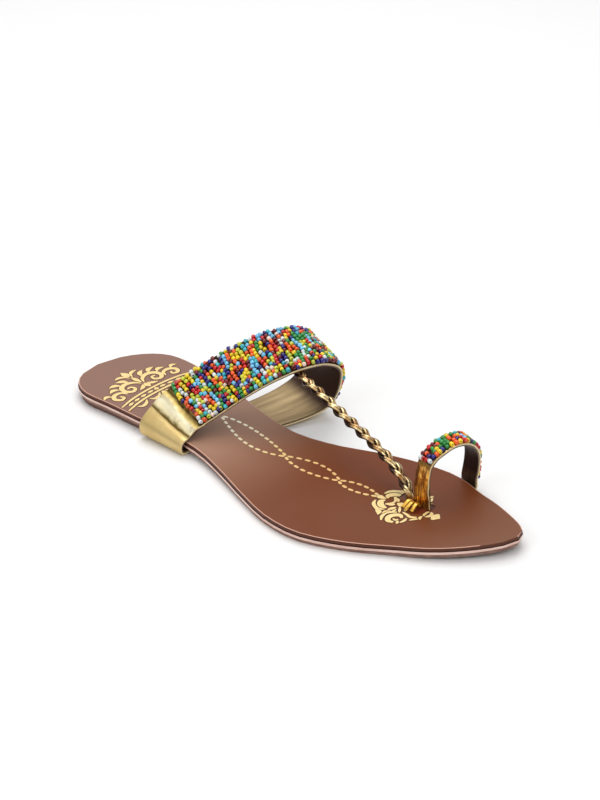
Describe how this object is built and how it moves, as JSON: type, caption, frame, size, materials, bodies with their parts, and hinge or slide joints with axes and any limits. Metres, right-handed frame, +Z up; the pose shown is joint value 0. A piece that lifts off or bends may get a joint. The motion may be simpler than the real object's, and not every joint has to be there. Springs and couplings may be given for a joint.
{
  "type": "flat toe-ring sandal",
  "caption": "Right flat leather slide sandal with a beaded instep strap, a braided cord and a beaded ring for the big toe.",
  "frame": {"origin": "on the floor, under the middle of the whole sandal's box", "axes": "+Y from toe to heel, +Z up, +X towards the big-toe side"},
  "size_m": [0.1011, 0.2556, 0.0474],
  "materials": {
    "insole": "satin",
    "midsole": "satin",
    "outsole": "matte",
    "heel_lift": "matte",
    "instep_strap": "metallic satin",
    "strap_beads": "gloss",
    "toe_ring": "metallic satin",
    "ring_beads": "gloss",
    "braided_cord": "metallic satin",
    "cord_tab": "metallic satin"
  },
  "bodies": {
    "root": {"insole": "insole", "midsole": "midsole", "outsole": "outsole", "heel_lift": "heel_lift", "instep_strap": "instep_strap", "strap_beads": "strap_beads", "toe_ring": "toe_ring", "ring_beads": "ring_beads", "braided_cord": "braided_cord", "cord_tab": "cord_tab"}
  },
  "joints": []
}
